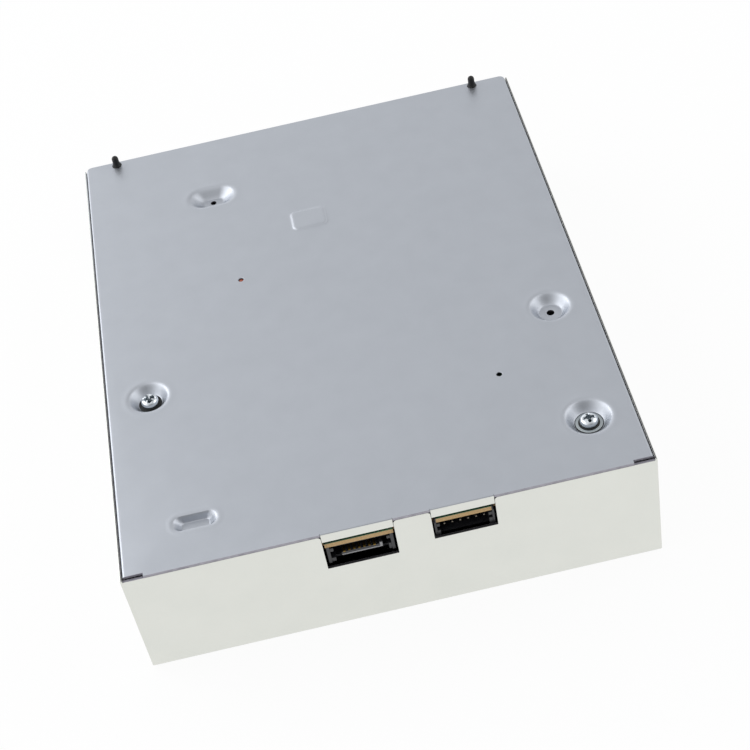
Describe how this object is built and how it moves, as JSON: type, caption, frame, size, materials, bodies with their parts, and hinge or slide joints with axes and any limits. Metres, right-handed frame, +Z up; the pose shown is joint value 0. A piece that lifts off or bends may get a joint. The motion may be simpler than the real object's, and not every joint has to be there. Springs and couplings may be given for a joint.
{
  "type": "optical disc drive",
  "caption": "Half-height tray-loading disc drive in a steel casing, lying on its top cover, with a working tray, gear train, lifting traverse, pickup and clamper.",
  "frame": {"origin": "Middle of the footprint, on the outer face of the top cover that the drive lies on.", "axes": "+X across the drive, to the right as seen from the connector wall; +Y from the connector wall to the tray's front; +Z up, out of the base cover."},
  "size_m": [0.134, 0.1666, 0.0393],
  "materials": {
    "casing_steel": "zinc-plated steel sheet, bright grey, not painted",
    "cover_steel": "zinc-plated steel sheet, satin, slightly bluish grey",
    "frame_plastic": "black moulded ABS",
    "screw_zinc": "bright zinc-plated steel",
    "bright_steel": "plain bright steel sheet",
    "board_green": "glass epoxy board with green solder mask",
    "connector_black": "black glass-filled nylon",
    "contact_gold": "gold-plated bronze",
    "tin_pin": "tin-plated bronze",
    "chip_black": "black moulded epoxy",
    "socket_ivory": "ivory nylon",
    "can_aluminium": "drawn aluminium can",
    "belt_rubber": "black square-section rubber belt",
    "flex_polyimide": "amber polyimide film",
    "tray_plastic": "dark grey moulded ABS",
    "panel_plastic": "dark grey moulded ABS",
    "gear_acetal": "natural white acetal",
    "damper_rubber": "soft black rubber",
    "winding_copper": "enamelled copper windings on laminated steel",
    "rod_steel": "ground and polished steel",
    "turntable_black": "black polycarbonate",
    "pickup_zinc": "die-cast zinc",
    "magnet_grey": "nickel-plated magnet",
    "lens_plastic": "black liquid-crystal polymer",
    "lens_glass": "moulded lens with a bluish coating",
    "clamper_plastic": "light grey acetal"
  },
  "bodies": {
    "chassis": {"casing": "casing_steel", "base_cover": "cover_steel", "loader_frame": "frame_plastic", "case_screws": "screw_zinc", "clamp_bridge": "bright_steel", "bridge_screws": "screw_zinc", "circuit_board": "board_green", "data_connector": "connector_black", "data_contacts": "contact_gold", "power_connector": "connector_black", "power_pins": "tin_pin", "controller_chip": "chip_black", "driver_chip": "chip_black", "memory_chip": "chip_black", "flex_sockets": "socket_ivory", "board_capacitors": "can_aluminium", "loading_motor": "bright_steel", "motor_screws": "screw_zinc", "drive_belt": "belt_rubber", "tray_switch": "connector_black", "pickup_flex": "flex_polyimide"},
    "tray": {"tray": "tray_plastic", "tray_front": "panel_plastic"},
    "motor_pulley": {"motor_pulley": "gear_acetal"},
    "belt_gear": {"belt_gear": "gear_acetal"},
    "idler_gear": {"idler_gear": "gear_acetal"},
    "drive_gear": {"drive_gear": "gear_acetal"},
    "cam_slider": {"cam_slider": "gear_acetal"},
    "cam_gear": {"cam_gear": "gear_acetal"},
    "switch_lever": {"switch_lever": "gear_acetal"},
    "traverse": {"traverse_holder": "frame_plastic", "rubber_dampers": "damper_rubber", "damper_screws": "screw_zinc", "traverse_plate": "bright_steel", "spindle_base": "bright_steel", "spindle_stator": "winding_copper", "guide_rods": "rod_steel", "sled_motor": "bright_steel"},
    "spindle": {"spindle_rotor": "bright_steel", "turntable": "turntable_black", "turntable_pad": "damper_rubber", "hub_ring": "bright_steel"},
    "lead_screw": {"lead_screw": "rod_steel"},
    "pickup": {"pickup_body": "pickup_zinc", "screw_follower": "gear_acetal", "laser_unit": "contact_gold", "actuator_yoke": "bright_steel", "actuator_magnets": "magnet_grey"},
    "lens": {"lens_holder": "lens_plastic", "objective_lens": "lens_glass"},
    "clamper": {"clamper_puck": "clamper_plastic", "clamper_magnet": "magnet_grey", "clamper_plate": "bright_steel"}
  },
  "joints": [
    {"name": "tray_slide", "type": "slide", "parent": "chassis", "child": "tray", "axis": [0, 1, 0], "range_m": [0, 0.128]},
    {"name": "drive_gear_turn", "type": "hinge", "parent": "chassis", "child": "drive_gear", "pos_m": [-0.0432, 0.063, 0.0198], "axis": [0, 0, 1], "range_deg": [-834, 0]},
    {"name": "idler_gear_turn", "type": "hinge", "parent": "chassis", "child": "idler_gear", "pos_m": [-0.0264, 0.063, 0.0238], "axis": [0, 0, 1], "range_deg": [0, 2084]},
    {"name": "belt_gear_turn", "type": "hinge", "parent": "chassis", "child": "belt_gear", "pos_m": [-0.0096, 0.063, 0.0238], "axis": [0, 0, 1], "range_deg": [-5210, 0]},
    {"name": "motor_turn", "type": "hinge", "parent": "chassis", "child": "motor_pulley", "pos_m": [0.024, 0.063, 0.0184], "axis": [0, 0, 1], "range_deg": [-13892, 0]},
    {"name": "slider_shift", "type": "slide", "parent": "chassis", "child": "cam_slider", "axis": [1, 0, 0], "range_m": [0, 0.014]},
    {"name": "cam_gear_turn", "type": "hinge", "parent": "chassis", "child": "cam_gear", "pos_m": [0.001, 0.0534, 0.0252], "axis": [0, 0, 1], "range_deg": [0, 126]},
    {"name": "traverse_tilt", "type": "hinge", "parent": "chassis", "child": "traverse", "pos_m": [0, -0.064, 0.0228], "axis": [1, 0, 0], "range_deg": [0, 4.4], "deforming": ["pickup_flex"]},
    {"name": "spindle_spin", "type": "hinge", "parent": "traverse", "child": "spindle", "pos_m": [0, 0.017, 0.0178], "axis": [0, 0, 1], "continuous": true},
    {"name": "pickup_slide", "type": "slide", "parent": "traverse", "child": "pickup", "axis": [0, -1, 0], "range_m": [0, 0.034]},
    {"name": "lead_screw_turn", "type": "hinge", "parent": "traverse", "child": "lead_screw", "pos_m": [-0.027, -0.02, 0.0226], "axis": [0, 1, 0], "range_deg": [-10, 4090]},
    {"name": "lens_focus", "type": "slide", "parent": "pickup", "child": "lens", "axis": [0, 0, 1], "range_m": [-0.0005, 0.0005], "stiffness_N_per_m": 30},
    {"name": "clamper_spin", "type": "hinge", "parent": "chassis", "child": "clamper", "pos_m": [0, 0.017, 0.0078], "axis": [0, 0, 1], "continuous": true},
    {"name": "switch_lever_tilt", "type": "hinge", "parent": "chassis", "child": "switch_lever", "pos_m": [0, 0.0693, 0.024], "axis": [1, 0, 0], "range_deg": [-12, 12], "stiffness_Nm_per_rad": 0.002}
  ],
  "couplings": [
    {"joint": "drive_gear_turn", "follows": "tray_slide", "rad_per_m": -113.64},
    {"joint": "idler_gear_turn", "follows": "tray_slide", "rad_per_m": 284.09},
    {"joint": "belt_gear_turn", "follows": "tray_slide", "rad_per_m": -710.23},
    {"joint": "motor_turn", "follows": "tray_slide", "rad_per_m": -1893.9},
    {"joint": "cam_gear_turn", "follows": "slider_shift", "rad_per_m": 156.25},
    {"joint": "traverse_tilt", "follows": "slider_shift", "rad_per_m": 5.4727},
    {"joint": "lead_screw_turn", "follows": "pickup_slide", "rad_per_m": 2094.4}
  ]
}
